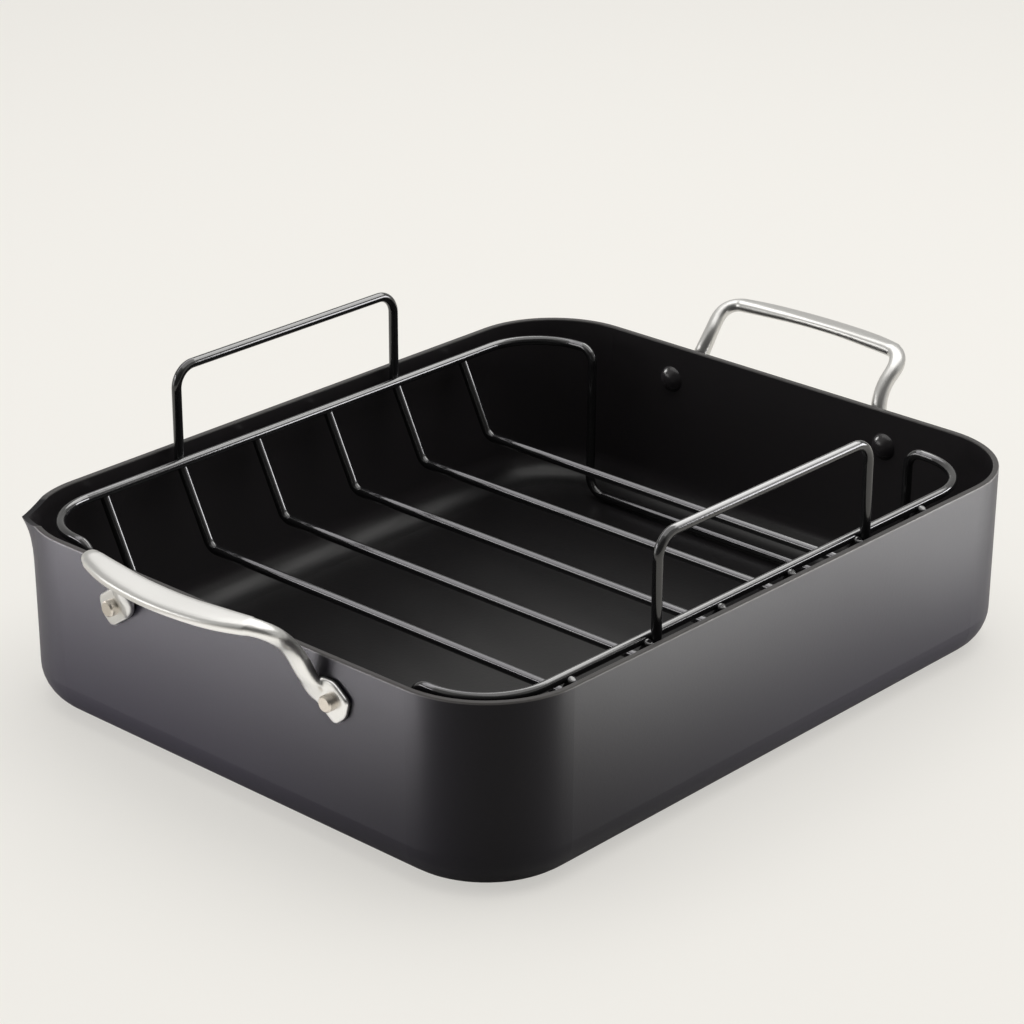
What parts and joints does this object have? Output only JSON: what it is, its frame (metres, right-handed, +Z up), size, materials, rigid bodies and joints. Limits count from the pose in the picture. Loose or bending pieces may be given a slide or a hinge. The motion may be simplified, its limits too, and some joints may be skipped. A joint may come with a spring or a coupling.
{
  "type": "roasting pan with rack",
  "caption": "deep rectangular roasting pan with a corner pouring spout, riveted loop handles on its short ends and a lift-out wire rack with two lifting handles",
  "frame": {"origin": "middle of the pan's base, on the surface it stands on", "axes": "+X along the pan's long side, towards one loop handle; +Y across it, the pouring spout in the -X +Y corner; +Z up"},
  "size_m": [0.4894, 0.33, 0.1408],
  "materials": {
    "pan_coating": "satin dark grey non-stick coating",
    "handle_steel": "satin stainless steel",
    "rivet_steel": "satin stainless steel, the heads inside the pan coated dark",
    "rack_coating": "glossy black non-stick coating"
  },
  "bodies": {
    "pan": {"pan_body": "pan_coating", "pan_handle_left": "handle_steel", "pan_handle_right": "handle_steel", "rivet_left_front": "rivet_steel", "rivet_left_back": "rivet_steel", "rivet_right_front": "rivet_steel", "rivet_right_back": "rivet_steel"},
    "rack": {"rack_frame": "rack_coating", "cross_wire_1": "rack_coating", "cross_wire_2": "rack_coating", "cross_wire_3": "rack_coating", "cross_wire_4": "rack_coating", "cross_wire_5": "rack_coating", "cross_wire_6": "rack_coating", "rack_handle_front": "rack_coating", "rack_handle_back": "rack_coating"}
  },
  "joints": [
    {"name": "rack_lift", "type": "slide", "parent": "pan", "child": "rack", "axis": [0, 0, 1], "range_m": [0, 0.12]}
  ]
}
